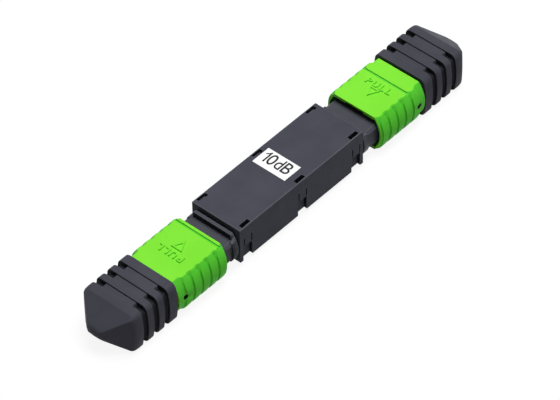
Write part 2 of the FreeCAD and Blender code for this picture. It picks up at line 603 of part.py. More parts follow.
def pull_sleeve():
    """Push-pull sleeve: ribbed shell over neck and frame, with keyway, spring pockets and stop lugs."""
    rear_bore = bulged_prism((SLEEVE_REAR, SLEEVE_STEP), SLEEVE_BORE_WIDTH, SLEEVE_BORE_HEIGHT,
                             SLEEVE_BORE_RADIUS)
    front_bore = centred((SLEEVE_STEP, SLEEVE_FRONT), FRAME_WIDTH + 2 * SLEEVE_FRAME_CLEARANCE,
                         FRAME_HEIGHT + 2 * SLEEVE_FRAME_CLEARANCE)
    keyway = block((SLEEVE_REAR, SLEEVE_FRONT), (-KEYWAY_WIDTH / 2, KEYWAY_WIDTH / 2),
                   (0, KEY_TOP + SLEEVE_FRAME_CLEARANCE))
    pocket_outer = SLEEVE_COIL_Y + (SLEEVE_COIL + SLEEVE_WIRE) / 2 + SPRING_ROOM
    pocket = block((SLEEVE_STEP, LUG_REAR), (0, pocket_outer),
                   (-SPRING_GROOVE_HEIGHT / 2, SPRING_GROOVE_HEIGHT / 2))
    hole = Part.makeCylinder(SLEEVE_HOLE / 2, SLEEVE_WIDTH, vec(SLEEVE_FRONT - SLEEVE_HOLE_SETBACK, 0, 0),
                             vec(0, 1, 0))
    key_line = SLEEVE_FRONT - KEY_FACE_LINE
    plain_line = SLEEVE_REAR + PLAIN_FACE_LINE
    lines = [block((place - LINE_WIDTH / 2, place + LINE_WIDTH / 2), (-SLEEVE_WIDTH, SLEEVE_WIDTH), height)
             for place, height in ((key_line, (SLEEVE_HEIGHT / 2 - LINE_DEPTH, SLEEVE_HEIGHT)),
                                   (plain_line, (-SLEEVE_HEIGHT, LINE_DEPTH - SLEEVE_HEIGHT / 2)))]
    openings = [rear_bore, front_bore, keyway] + mirrored(pocket) + mirrored(hole)
    shell = sleeve_outside().cut(openings + lines)
    lug = block((LUG_REAR, LUG_FRONT), (SPRING_GROOVE_FLOOR + SLEEVE_FRAME_CLEARANCE, pocket_outer),
                (-SLEEVE_LUG_HEIGHT / 2, SLEEVE_LUG_HEIGHT / 2))
    return joined(shell, mirrored(lug))


def cap_core():
    """The groove floors: the cap's outline set in at the sides, and deeper above and below."""
    outline = bulged_wire(CAP_REAR, CAP_WIDTH - 2 * CAP_GROOVE_DEPTH, CAP_HEIGHT - 2 * CAP_NOTCH_DEPTH,
                          CAP_SIDE_RADIUS - CAP_GROOVE_DEPTH, CAP_NOTCH_BEVEL, bevelled=True)
    return prism(outline, CAP_SHOULDER - CAP_REAR)


def cap_end():
    """Blunt pyramid with rounded hips, trimmed to the cap's outline where it starts."""
    def tapered(half_start, half_end):
        return [(CAP_SHOULDER, half_start), (CAP_FRONT, half_end),
                (CAP_FRONT, -half_end), (CAP_SHOULDER, -half_start)]

    side = [vec(x, -CAP_WIDTH, z) for x, z in tapered(CAP_HEIGHT / 2, CAP_END_HEIGHT / 2)]
    plan = [vec(x, y, -CAP_HEIGHT) for x, y in tapered(CAP_WIDTH / 2, CAP_END_WIDTH / 2)]
    wedge = Part.Face(Part.makePolygon(side + side[:1])).extrude(vec(0, 2 * CAP_WIDTH, 0))
    pyramid = wedge.common(Part.Face(Part.makePolygon(plan + plan[:1])).extrude(vec(0, 0, 2 * CAP_HEIGHT)))
    hips = [e for e in pyramid.Edges if e.BoundBox.XLength > CAP_END_LENGTH / 2]
    pyramid = pyramid.makeFillet(CAP_END_CORNER, hips)
    outline = bulged_prism((CAP_SHOULDER, CAP_FRONT), CAP_WIDTH, CAP_HEIGHT, CAP_SIDE_RADIUS, CAP_CORNER)
    return pyramid.common(outline)


def dust_cap():
    """Ribbed cap with a blunt pyramid end: each groove is shallow on the bridge above and below, drops into
    a notch beside it and goes on round the sides."""
    bridge = centred((CAP_REAR, CAP_SHOULDER), CAP_BRIDGE_WIDTH, CAP_HEIGHT - 2 * CAP_BRIDGE_DEPTH)
    rings = []
    place = CAP_REAR
    for length in [CAP_REAR_RING] + [CAP_RING] * (CAP_GROOVE_COUNT - 1) + [CAP_TIP_RING]:
        rings.append(bulged_prism((place, place + length), CAP_WIDTH, CAP_HEIGHT, CAP_SIDE_RADIUS,
                                  CAP_CORNER))
        place += length + CAP_GROOVE
    body = joined(cap_core(), [bridge, cap_end()] + rings)
    clearance = 2 * CAP_POCKET_CLEARANCE
    pocket = centred((CAP_REAR, CAP_POCKET_END), FRAME_WIDTH + clearance, FRAME_HEIGHT + clearance)
    slot_side = KEY_WIDTH / 2 + CAP_POCKET_CLEARANCE
    key_slot = block((CAP_REAR, CAP_POCKET_END), (-slot_side, slot_side),
                     (0, KEY_TOP + CAP_POCKET_CLEARANCE))
    return body.cut([pocket, key_slot])


def lifted(shape):
    raised = shape.copy()
    raised.translate(vec(0, 0, AXIS_HEIGHT))
    return raised


def at_end(shape, end):
    """Place a connector piece at the female end as modelled, or at the male end by half a turn about Y."""
    placed = shape.copy()
    if end == "male":
        placed.rotate(vec(0, 0, 0), vec(0, 1, 0), 180)
    return lifted(placed)


def nodes():
    """Every piece by its node name."""
    pieces = {
        "top_cover": lifted(top_cover()),
        "base_tray": lifted(base_tray()),
        "rating_label": lifted(rating_label()),
        "fibre_ribbon": lifted(fibre_ribbon()),
        "guide_pins_male": at_end(guide_pins(), "male"),
    }
    connector = {
        "spring_push": spring_push(),
        "plug_frame": plug_frame(),
        "ferrule_spring": ferrule_spring(),
        "sleeve_spring_left": sleeve_spring(1),
        "sleeve_spring_right": sleeve_spring(-1),
        "pull_sleeve": pull_sleeve(),
        "ferrule": ferrule(),
        "ferrule_boot": ferrule_boot(),
        "pin_clamp": pin_clamp(),
        "dust_cap": dust_cap(),
    }
    for name, shape in connector.items():
        for end in ("female", "male"):
            pieces[name + "_" + end] = at_end(shape, end)
    return pieces


def main():
    os.makedirs("parts", exist_ok=True)
    for name, shape in nodes().items():
        shape.exportStep(os.path.join("parts", name + ".step"))


main()
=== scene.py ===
"""Looks of the in-line MPO fibre attenuator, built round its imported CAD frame.

Objects are in metres in the CAD frame: X along the fibre (+X is the female end), Y across, Z up from the
plane that the dust caps rest on. Sizes and places that are written as plain numbers below are millimetres,
and a place along the fibre is a distance from the middle of the part, the same for both ends.
"""
import json
import math

import bmesh
import bpy
from mathutils import Matrix, Vector

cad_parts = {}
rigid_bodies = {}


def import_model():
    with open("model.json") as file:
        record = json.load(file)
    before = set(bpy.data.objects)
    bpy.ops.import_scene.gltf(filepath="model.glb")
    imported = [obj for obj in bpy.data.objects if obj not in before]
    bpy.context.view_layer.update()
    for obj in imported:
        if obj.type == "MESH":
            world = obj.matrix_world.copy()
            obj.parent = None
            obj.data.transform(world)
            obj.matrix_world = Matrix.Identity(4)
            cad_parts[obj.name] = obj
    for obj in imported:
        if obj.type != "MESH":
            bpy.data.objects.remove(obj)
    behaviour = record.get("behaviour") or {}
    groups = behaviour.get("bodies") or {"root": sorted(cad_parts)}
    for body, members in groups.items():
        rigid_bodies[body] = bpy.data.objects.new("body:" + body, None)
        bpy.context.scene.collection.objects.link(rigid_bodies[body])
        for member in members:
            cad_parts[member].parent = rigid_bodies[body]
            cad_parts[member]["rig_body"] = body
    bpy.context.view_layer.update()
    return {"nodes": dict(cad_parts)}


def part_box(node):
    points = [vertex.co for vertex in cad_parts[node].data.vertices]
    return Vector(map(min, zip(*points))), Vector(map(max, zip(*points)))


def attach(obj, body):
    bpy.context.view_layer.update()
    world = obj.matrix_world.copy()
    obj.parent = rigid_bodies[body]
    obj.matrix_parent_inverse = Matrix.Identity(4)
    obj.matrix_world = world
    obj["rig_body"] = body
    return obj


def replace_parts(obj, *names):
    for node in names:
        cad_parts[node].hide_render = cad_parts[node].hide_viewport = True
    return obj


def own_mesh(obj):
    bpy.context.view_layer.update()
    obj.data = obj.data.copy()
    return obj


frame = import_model()
scene = bpy.context.scene

MM = 0.001
WELD = 0.001 * MM
FLAT_ANGLE = math.radians(0.5)
SHARP_ANGLE = math.radians(20)

# The ends by the side of the middle that they lie on

ENDS = {"female": 1, "male": -1}

# A direction with less than this along an axis runs across it

CROSSWISE = 0.5

# Places on the CAD model that the looks follow. AXIS is the height of the fibre, and the round sides of a
# sleeve have their centres GRIP_CENTRE from the middle. Its grip lies further out than SLEEVE_SIDE, and its
# flat faces lie further up or down than SLEEVE_FACE. What lies within TOUCH of a place is at it, and NEAR is
# the margin where a place divides one region from another.

TOUCH = 0.03
NEAR = 0.1
AXIS = 4.15
LID_PLATE = 7.25
FLANGE_FRONT = 16.4
COLLAR_FRONT = 16.95
NECK_FRONT = 22.3
SLEEVE_REAR = 19.2
SLEEVE_FRONT = 30.7
SLEEVE_SIDE = 4.4
SLEEVE_FACE = 3.3
SLEEVE_LINES = (20.0, 27.2)
LINE_REACH = 0.25
SLEEVE_HOLE = 29.15
GRIP_CENTRE = 0.4
FIRST_VALLEY = 19.35
LAST_VALLEY = 29.35
RIB_PITCH = 2
FERRULE_FRONT = 37.5
CAP_GROOVES = (33.41, 35.92, 38.43)
CAP_HALF_WIDTH = 6.0
CAP_HALF_HEIGHT = 4.15
CAP_SHOULDER = 40.5
CAP_FRONT = 44.71

# Nearly all of a noise lies between these values

NOISE_LOW = 0.3
NOISE_HIGH = 0.7


# Materials

def srgb(red, green, blue):
    """A linear colour from display values of 0 to 255."""
    def linear(value):
        value /= 255
        return value / 12.92 if value <= 0.04045 else ((value + 0.055) / 1.055) ** 2.4
    return (linear(red), linear(green), linear(blue), 1)


class Looks:
    """A Principled material and the texture nodes that feed it; texture sizes are in millimetres."""

    def __init__(self, name):
        self.material = bpy.data.materials.new(name)
        self.material.use_nodes = True
        self.tree = self.material.node_tree
        self.shader = self.tree.nodes["Principled BSDF"]
        place = self.tree.nodes.new("ShaderNodeTexCoord")
        self.mapping = self.tree.nodes.new("ShaderNodeMapping")
        self.mapping.inputs["Scale"].default_value = (1 / MM, 1 / MM, 1 / MM)
        self.link(place.outputs["Object"], self.mapping.inputs["Vector"])

    def link(self, source, target):
        self.tree.links.new(source, target)

    def feed(self, source, socket):
        self.link(source, self.shader.inputs[socket])

    def set(self, **values):
        for name, value in values.items():
            self.shader.inputs[name.replace("_", " ")].default_value = value

    def noise(self, size, detail=2.0, stretch=(1, 1, 1)):
        """Noise with features of about the given size, longer along an axis with a smaller stretch."""
        vector = self.mapping.outputs["Vector"]
        if stretch != (1, 1, 1):
            longer = self.tree.nodes.new("ShaderNodeMapping")
            longer.inputs["Scale"].default_value = stretch
            self.link(vector, longer.inputs["Vector"])
            vector = longer.outputs["Vector"]
        texture = self.tree.nodes.new("ShaderNodeTexNoise")
        texture.inputs["Scale"].default_value = 1 / size
        texture.inputs["Detail"].default_value = detail
        self.link(vector, texture.inputs["Vector"])
        return texture.outputs["Fac"]

    def ranged(self, factor, low, high, start=NOISE_LOW, stop=NOISE_HIGH):
        """A value from low to high as a factor goes from start to stop."""
        spread = self.tree.nodes.new("ShaderNodeMapRange")
        spread.inputs["From Min"].default_value = start
        spread.inputs["From Max"].default_value = stop
        spread.inputs["To Min"].default_value = low
        spread.inputs["To Max"].default_value = high
        self.link(factor, spread.inputs["Value"])
        return spread.outputs["Result"]

    def ramp(self, factor, stops, constant=False):
        """A colour by a factor, from stops of a position and a colour."""
        band = self.tree.nodes.new("ShaderNodeValToRGB")
        band.color_ramp.interpolation = "CONSTANT" if constant else "LINEAR"
        elements = band.color_ramp.elements
        while len(elements) < len(stops):
            elements.new(1.0)
        for element, (position, colour) in zip(elements, stops):
            element.position = position
            element.color = colour
        self.link(factor, band.inputs["Fac"])
        return band.outputs["Color"]

    def blend(self, noise, dark, light):
        """A colour that goes from dark to light with a noise; both are display values."""
        return self.ramp(noise, [(NOISE_LOW, srgb(*dark)), (NOISE_HIGH, srgb(*light))])

    def bump(self, height, depth, under=None):
        """Surface relief of a depth in millimetres, over another relief if one is given."""
        relief = self.tree.nodes.new("ShaderNodeBump")
        relief.inputs["Distance"].default_value = depth * MM
        self.link(height, relief.inputs["Height"])
        if under:
            self.link(under, relief.inputs["Normal"])
        self.feed(relief.outputs["Normal"], "Normal")
        return relief.outputs["Normal"]


def moulded(name, dark, light, rough, grain, depth, specular):
    """Moulded plastic: colour that drifts between two tones, uneven gloss and a fine grain from the tool."""
    looks = Looks(name)
    drift = looks.noise(size=6.0, detail=3.0)
    looks.feed(looks.blend(drift, dark, light), "Base Color")
    patches = looks.noise(size=1.4, detail=4.0)
    looks.feed(looks.ranged(patches, *rough), "Roughness")
    flow = looks.noise(size=3.0, detail=1.0, stretch=(0.4, 1, 1))
    waves = looks.bump(flow, depth=0.004)
    looks.bump(looks.noise(grain), depth, under=waves)
    looks.set(Specular_IOR_Level=specular)
    return looks.material


def plastic(name, dark, light, rough, grain, depth, specular, highlight_lift):
    """A moulded plastic and a painted highlight for its rounded edges: a second material that is lighter by
    the given amount, and smoother.
    """
    polish = 0.08
    smooth = [value - polish for value in rough]

    def lifted(colour):
        return [value + highlight_lift for value in colour]

    return (moulded(name, dark, light, rough, grain, depth, specular),
            moulded(name + "_edge", lifted(dark), lifted(light), smooth, grain, depth / 2, specular))


def paper():
    looks = Looks("label_paper")
    fibres = looks.noise(size=0.25, detail=4.0, stretch=(1, 0.4, 1))
    looks.feed(looks.blend(fibres, (244, 244, 246), (252, 252, 252)), "Base Color")
    looks.feed(looks.ranged(fibres, 0.5, 0.62), "Roughness")
    looks.bump(fibres, depth=0.003)
    looks.set(Specular_IOR_Level=0.2)
    return looks.material


def ink():
    looks = Looks("label_ink")
    speckle = looks.noise(size=0.12, detail=3.0)
    looks.feed(looks.ramp(speckle, [(0.35, srgb(18, 18, 20)), (0.75, srgb(36, 36, 39))]), "Base Color")
    looks.feed(looks.ranged(speckle, 0.45, 0.6), "Roughness")
    looks.set(Specular_IOR_Level=0.2)
    return looks.material


def steel(name, tone, scratch):
    """Drawn metal: fine lines along the wire or pin, in a grey with a trace of blue."""
    blue, contrast = 2, 16

    def grey(value):
        return value, value, value + blue

    looks = Looks(name)
    lines = looks.noise(scratch, detail=3.0, stretch=(0.1, 1, 1))
    looks.feed(looks.blend(lines, grey(tone - contrast), grey(tone)), "Base Color")
    looks.feed(looks.ranged(lines, 0.2, 0.38), "Roughness")
    looks.bump(lines, depth=0.002)
    looks.set(Metallic=1.0)
    return looks.material


def ribbon_coating():
    """Twelve coloured fibres side by side under a clear coating, by their place across the ribbon."""
    low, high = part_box("fibre_ribbon")
    looks = Looks("ribbon_coating")
    split = looks.tree.nodes.new("ShaderNodeSeparateXYZ")
    looks.link(looks.mapping.outputs["Vector"], split.inputs["Vector"])
    across = looks.ranged(split.outputs["Y"], 0.0, 1.0, start=low.y / MM, stop=high.y / MM)
    code = [(30, 90, 190), (235, 120, 30), (40, 150, 70), (120, 75, 45), (120, 128, 135), (235, 235, 232),
            (200, 40, 45), (35, 35, 38), (240, 205, 40), (125, 70, 150), (235, 140, 165), (70, 190, 200)]
    stops = [(index / len(code), srgb(*colour)) for index, colour in enumerate(code)]
    looks.feed(looks.ramp(across, stops, constant=True), "Base Color")
    looks.feed(looks.ranged(looks.noise(size=0.6, detail=3.0), 0.25, 0.4), "Roughness")
    wave = looks.tree.nodes.new("ShaderNodeMath")
    wave.operation = "PINGPONG"
    wave.inputs[1].default_value = (high.y - low.y) / MM / len(code) / 2
    looks.link(split.outputs["Y"], wave.inputs[0])
    looks.bump(wave.outputs["Value"], depth=0.3)
    return looks.material


def glass():
    looks = Looks("fibre_glass")
    polish = looks.noise(size=0.05)
    looks.feed(looks.blend(polish, (150, 160, 170), (190, 200, 208)), "Base Color")
    looks.feed(looks.ranged(polish, 0.05, 0.12), "Roughness")
    return looks.material


# The last number of each plastic lightens its rounded edges: a painted highlight.
HOUSING_BLACK = plastic("housing_black", dark=(67, 68, 77), light=(74, 75, 84), rough=(0.46, 0.58),
                        grain=0.16, depth=0.006, specular=0.04, highlight_lift=20)
CONNECTOR_BLACK = plastic("connector_black", dark=(68, 69, 77), light=(75, 76, 84), rough=(0.36, 0.48),
                          grain=0.3, depth=0.004, specular=0.06, highlight_lift=18)
CAP_BLACK = plastic("cap_black", dark=(65, 65, 74), light=(72, 72, 81), rough=(0.42, 0.55),
                    grain=0.22, depth=0.006, specular=0.04, highlight_lift=6)
# Painted shade: a darker black for cap grooves and notches, lid window walls, the tray tops under the lid
# and the flange fronts.
PAINTED_SHADE_BLACK = moulded("cap_groove", dark=(40, 40, 46), light=(46, 46, 52), rough=(0.5, 0.62),
                     grain=0.22, depth=0.006, specular=0.03)
SLEEVE_GREEN = moulded("sleeve_green", dark=(124, 222, 54), light=(130, 228, 60), rough=(0.36, 0.48),
                       grain=0.28, depth=0.004, specular=0.05)
# Painted shade: a deeper green for the round sides of the sleeves, the floors of their line grooves and the
# walls of the raised letters.
SOFT_SHADE_GREEN = moulded("soft_shade_green", dark=(88, 206, 52), light=(94, 212, 58), rough=(0.4, 0.52),
                     grain=0.28, depth=0.005, specular=0.04)
# Painted shade: a still deeper green for the walls of the line grooves.
DEEP_SHADE_GREEN = moulded("deep_shade_green", dark=(58, 168, 36), light=(64, 176, 42), rough=(0.4, 0.52),
                       grain=0.28, depth=0.005, specular=0.04)
FERRULE_RESIN = plastic("ferrule_resin", dark=(66, 66, 70), light=(80, 80, 85), rough=(0.4, 0.55),
                        grain=0.08, depth=0.006, specular=0.3, highlight_lift=10)
BOOT_RUBBER = plastic("boot_rubber", dark=(44, 44, 46), light=(54, 54, 56), rough=(0.6, 0.75),
                      grain=0.12, depth=0.01, specular=0.2, highlight_lift=6)
LABEL_PAPER = paper()
LABEL_INK = ink()
SPRING_STEEL = steel("spring_steel", tone=188, scratch=0.08)
PIN_STEEL = steel("pin_steel", tone=206, scratch=0.05)
RIBBON_COATING = ribbon_coating()
FIBRE_GLASS = glass()

# The numbers of the materials on a black piece and on a sleeve. On a black piece the second is a painted
# edge highlight and the third painted shade; on a sleeve every material but the top green is painted shade.

PLAIN, EDGE_HIGHLIGHT, PAINTED_SHADE = range(3)
TOP, DEEP_SHADE, HOLE_SHADE, SOFT_SHADE = range(4)
# The black one is painted shade on the walls of the side hole.
SLEEVE_MATERIALS = [SLEEVE_GREEN, DEEP_SHADE_GREEN, CONNECTOR_BLACK[PLAIN], SOFT_SHADE_GREEN]


# Meshes and pieces

def new_piece(name, mesh, body):
    piece = bpy.data.objects.new(name, mesh)
    scene.collection.objects.link(piece)
    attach(piece, body)
    return piece


def finished(shape, name, materials, smooth=True):
    """A mesh with materials from a shape, which goes away."""
    mesh = bpy.data.meshes.new(name)
    shape.to_mesh(mesh)
    shape.free()
    if smooth:
        mesh.shade_smooth()
    for material in materials:
        mesh.materials.append(material)
    return mesh


def baked(form):
    """The mesh of an object with its modifiers applied; the object itself goes away."""
    scene.collection.objects.link(form)
    evaluated = form.evaluated_get(bpy.context.evaluated_depsgraph_get())
    mesh = bpy.data.meshes.new_from_object(evaluated)
    bpy.data.objects.remove(form)
    return mesh


def bridged(shape, near, far):
    """Faces between two rings of as many corners."""
    for index in range(len(near)):
        following = (index + 1) % len(near)
        shape.faces.new((near[index], near[following], far[following], far[index]))


def bar(shape, rings):
    """A closed bar along rings of as many corners."""
    for near, far in zip(rings, rings[1:]):
        bridged(shape, near, far)
    shape.faces.new(rings[0])
    shape.faces.new(rings[-1])


def circle(count):
    """Angles that are evenly spread over a full turn."""
    return [2 * math.pi * index / count for index in range(count)]


def share(value, start, stop):
    """How far a value has come from start to stop, from 0 to 1."""
    return min(max((value - start) / (stop - start), 0), 1)


def whole_faces(node):
    """A CAD node's mesh with its facets joined into whole faces."""
    shape = bmesh.new()
    shape.from_mesh(node.data)
    bmesh.ops.remove_doubles(shape, verts=shape.verts, dist=WELD)
    bmesh.ops.dissolve_limit(shape, angle_limit=FLAT_ANGLE, verts=shape.verts, edges=shape.edges)
    return shape


def edge_widths(shape, edge_width):
    """The rounding of each sharp edge, by one width or by a rule as softened describes it."""
    widths = {}
    for edge in shape.edges:
        if edge.is_manifold and edge.calc_face_angle() > SHARP_ANGLE:
            start, stop = (vertex.co / MM for vertex in edge.verts)
            if callable(edge_width):
                widths[edge] = edge_width((start + stop) / 2, (stop - start).normalized(), edge.is_convex)
            else:
                widths[edge] = edge_width
    return widths


def softened(name, materials, edge_width, tint=None, highlight_edges=True, rework=None):
    """A CAD node as moulded: the same form with its sharp edges rounded, and on most pieces lighter as a
    painted highlight.

    Edge_width is a width, or gives one from an edge's middle, its direction and whether it is convex. Where
    the piece asks for it, the rounded edges take the second material, a painted highlight, and tint gives
    the number of any other face's material from its middle and normal.
    Rework changes the form before the edges are rounded.
    """
    node = frame["nodes"][name]
    shape = whole_faces(node)
    if rework:
        rework(shape)
        shape.normal_update()
    if tint:
        for face in shape.faces:
            face.material_index = tint(face.calc_center_median() / MM, face.normal)
    weight = shape.edges.layers.float.new("bevel_weight_edge")
    widths = edge_widths(shape, edge_width)
    widest = max(widths.values())
    for edge, width in widths.items():
        edge[weight] = width / widest
    form = bpy.data.objects.new(name + "_form", finished(shape, name + "_moulded", materials))
    bevel = form.modifiers.new("edges", "BEVEL")
    bevel.limit_method = "WEIGHT"
    bevel.width = widest * MM
    bevel.segments = 3
    bevel.use_clamp_overlap = False
    # The bevel faces take the painted edge highlight, or else the material of the faces beside them.
    bevel.material = EDGE_HIGHLIGHT if highlight_edges and len(materials) > EDGE_HIGHLIGHT else -1
    normals = form.modifiers.new("normals", "WEIGHTED_NORMAL")
    normals.weight = 80
    piece = new_piece(name + "_moulded", baked(form), node["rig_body"])
    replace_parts(piece, name)


def dressed(name, material):
    """A CAD node that keeps its shape and takes a material."""
    node = frame["nodes"][name]
    node.data.materials.clear()
    node.data.materials.append(material)


def rounded_steel(name, suffix, shape, material):
    """A piece of round bars that stands for a steel CAD node."""
    bmesh.ops.recalc_face_normals(shape, faces=shape.faces)
    mesh = finished(shape, name + suffix, [material])
    piece = new_piece(name + suffix, mesh, frame["nodes"][name]["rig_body"])
    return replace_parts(piece, name)


def turned_pins(name):
    """A pair of round pins in the box of their CAD node, with soft tips that face away from the housing."""
    low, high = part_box(name)
    radius = (high.z - low.z) / 2
    back, front = sorted((low.x, high.x), key=abs)
    tip, flat = math.copysign(0.2 * MM, front), 0.55
    steps, sides = 6, 32
    profile = []
    for step in range(steps + 1):
        angle = math.pi / 2 * step / steps
        size = radius * (flat + (1 - flat) * math.sin(angle))
        profile.append((front - tip * (1 - math.cos(angle)), size))
    profile.append((back, radius))
    shape = bmesh.new()
    for across in (low.y + radius, high.y - radius):
        rings = []
        for place, size in profile:
            corners = [(place, across + size * math.cos(angle), low.z + radius + size * math.sin(angle))
                       for angle in circle(sides)]
            rings.append([shape.verts.new(corner) for corner in corners])
        bar(shape, rings)
    rounded_steel(name, "_turned", shape, PIN_STEEL)


def wound(name, wire, turns):
    """A spring of round wire with closed ends in the box of its CAD node."""
    low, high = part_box(name)
    middle = (low + high) / 2
    wire *= MM
    half_width = (high.y - low.y - wire) / 2
    half_height = (high.z - low.z - wire) / 2
    end_turn = 1.1 * wire
    lead = (high.x - low.x - wire - 2 * end_turn) / (turns - 2)
    steps, sides = 28, 10
    along = Vector((1, 0, 0))
    shape = bmesh.new()
    rings = []
    for step in range(turns * steps + 1):
        turn = step / steps
        open_turns = min(max(turn - 1, 0), turns - 2)
        place = low.x + wire / 2 + open_turns * lead + (turn - open_turns) * end_turn
        across, up = math.cos(2 * math.pi * turn), math.sin(2 * math.pi * turn)
        centre = Vector((place, middle.y + half_width * across, middle.z + half_height * up))
        out = Vector((0, half_height * across, half_width * up)).normalized()
        offsets = [math.cos(angle) * out + math.sin(angle) * along for angle in circle(sides)]
        rings.append([shape.verts.new(centre + wire / 2 * offset) for offset in offsets])
    bar(shape, rings)
    piece = rounded_steel(name, "_wire", shape, SPRING_STEEL)
    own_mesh(piece)


# Raised words and signs

def letter(character, offset):
    """A letter as a flat curve with its strokes widened by an offset, and the box that it fills."""
    curve = bpy.data.curves.new("letter", "FONT")
    curve.body = character
    curve.offset = offset
    curve.fill_mode = "BOTH"
    probe = baked(bpy.data.objects.new("probe", curve))
    across = [vertex.co.x for vertex in probe.vertices]
    upwards = [vertex.co.y for vertex in probe.vertices]
    return curve, (min(across), max(across)), (min(upwards), max(upwards))


def outline(*loops):
    """A flat curve from closed loops of (u, v) corners; a loop inside another one is a hole."""
    curve = bpy.data.curves.new("outline", "CURVE")
    curve.dimensions = "2D"
    curve.fill_mode = "BOTH"
    for loop in loops:
        spline = curve.splines.new("POLY")
        spline.points.add(len(loop) - 1)
        for point, (u, v) in zip(spline.points, loop):
            point.co = (u, v, 0, 1)
        spline.use_cyclic_u = True
    return curve


def fitted(across, upwards, start, stop, foot, head):
    """A map from a letter's box to the part: Y from start to stop along the word, X from foot to head."""
    def place(u, v):
        along = (u - across[0]) / (across[1] - across[0])
        up = (v - upwards[0]) / (upwards[1] - upwards[0])
        return foot + (head - foot) * up, start + (stop - start) * along
    return place


def raised(curve, place, base, rise):
    """The mesh of a flat curve, raised by a rise from a height base, with its corners put at place(u, v)."""
    half = 0.5
    curve.extrude = half
    mesh = baked(bpy.data.objects.new("relief", curve))
    for vertex in mesh.vertices:
        x, y = place(vertex.co.x, vertex.co.y)
        vertex.co = Vector((x, y, base + (vertex.co.z + half) * rise)) * MM
    return mesh


def merged(name, meshes, body, materials):
    """One piece from several raised meshes; their upright walls take the last of its materials."""
    shape = bmesh.new()
    for mesh in meshes:
        shape.from_mesh(mesh)
    bmesh.ops.remove_doubles(shape, verts=shape.verts, dist=WELD)
    bmesh.ops.recalc_face_normals(shape, faces=shape.faces)
    for face in shape.faces:
        upright = abs(face.normal.z) < CROSSWISE
        face.material_index = len(materials) - 1 if upright else 0
    new_piece(name, finished(shape, name, materials, smooth=False), body)


# Lid and tray

def moved(move):
    """A rework of a form that sends each of its corners to another place."""
    def rework(shape):
        for vertex in shape.verts:
            vertex.co = move(vertex.co / MM) * MM
    return rework


def wide_window(corner):
    """The windows in the lid reach a little further in than the CAD has them."""
    cad_edge, edge = 4.45, 4.22
    if abs(abs(corner.y) - cad_edge) < TOUCH and corner.z > LID_PLATE:
        return Vector((corner.x, math.copysign(edge, corner.y), corner.z))
    return corner


def cover_edge(middle, along, convex):
    """Sharp on the inner side of the skirt."""
    side_wall, end_wall, width = 4.7, 15.2, 0.05
    inside = abs(middle.y) < side_wall and abs(middle.x) < end_wall and middle.z < LID_PLATE
    return 0 if inside else width


def cover_tint(middle, normal):
    """The rounded rim of the lid takes the painted edge highlight like its other edges, and the walls of its
    windows take painted shade.
    """
    upright, level = 0.2, 0.97
    inner_edge, outer_edge = 4, 5.03
    in_window = middle.z > LID_PLATE and inner_edge < abs(middle.y) < outer_edge
    if in_window and abs(normal.z) < upright:
        return PAINTED_SHADE
    return EDGE_HIGHLIGHT if upright < normal.z < level else PLAIN


def tray_tint(middle, normal):
    """The tops of the tray walls, seen through the windows of the lid, take painted shade."""
    wall_top = 5.5
    return PAINTED_SHADE if middle.z > wall_top else PLAIN


# Neck and flange behind a sleeve

def low_neck(corner):
    """The neck and its collar lie deeper than the bar of the flange, which drops steeply to them."""
    cad_half_height, cad_side, cad_bevel = 2.95, 4.85, 2.4
    collar, neck, bevel = 1.95, 2.35, 0.45
    place, rise = abs(corner.x), corner.z - AXIS
    height = abs(rise)
    on_bar = place < FLANGE_FRONT - NEAR or place < FLANGE_FRONT + NEAR and height > cad_half_height
    if on_bar or place > NECK_FRONT + NEAR:
        return corner
    top = collar if place < COLLAR_FRONT + NEAR else neck
    if abs(height - cad_bevel) < TOUCH and abs(abs(corner.y) - cad_side) < TOUCH:
        height = top - bevel
    height = min(height, top)
    return Vector((corner.x, corner.y, AXIS + math.copysign(height, rise)))


def neck_edge(middle, along, convex):
    """Sharp where the neck runs into its collar."""
    width = 0.08
    return 0 if abs(abs(middle.x) - COLLAR_FRONT) < TOUCH else width


def neck_tint(middle, normal):
    """The front of the flange, which faces the sleeve, takes painted shade."""
    at_front = FLANGE_FRONT - NEAR < abs(middle.x) < COLLAR_FRONT + NEAR
    return PAINTED_SHADE if at_front and abs(normal.x) > CROSSWISE else PLAIN


# Sleeves

def in_sleeve_hole(middle):
    reach, bore_side = 0.52, 4.7
    along, up = abs(middle.x) - SLEEVE_HOLE, middle.z - AXIS
    return abs(along) < reach and abs(up) < reach and abs(middle.y) > bore_side


def on_sleeve_line(middle):
    """Whether a place lies on one of the lines across the flat faces of the sleeve."""
    on_face = abs(middle.z - AXIS) > SLEEVE_FACE
    return on_face and any(abs(abs(middle.x) - line) < LINE_REACH for line in SLEEVE_LINES)


def rib_valley(place):
    """The valley of the ribs that is nearest to a place along the fibre."""
    valley = FIRST_VALLEY + RIB_PITCH * round((place - FIRST_VALLEY) / RIB_PITCH)
    return min(max(valley, FIRST_VALLEY), LAST_VALLEY)


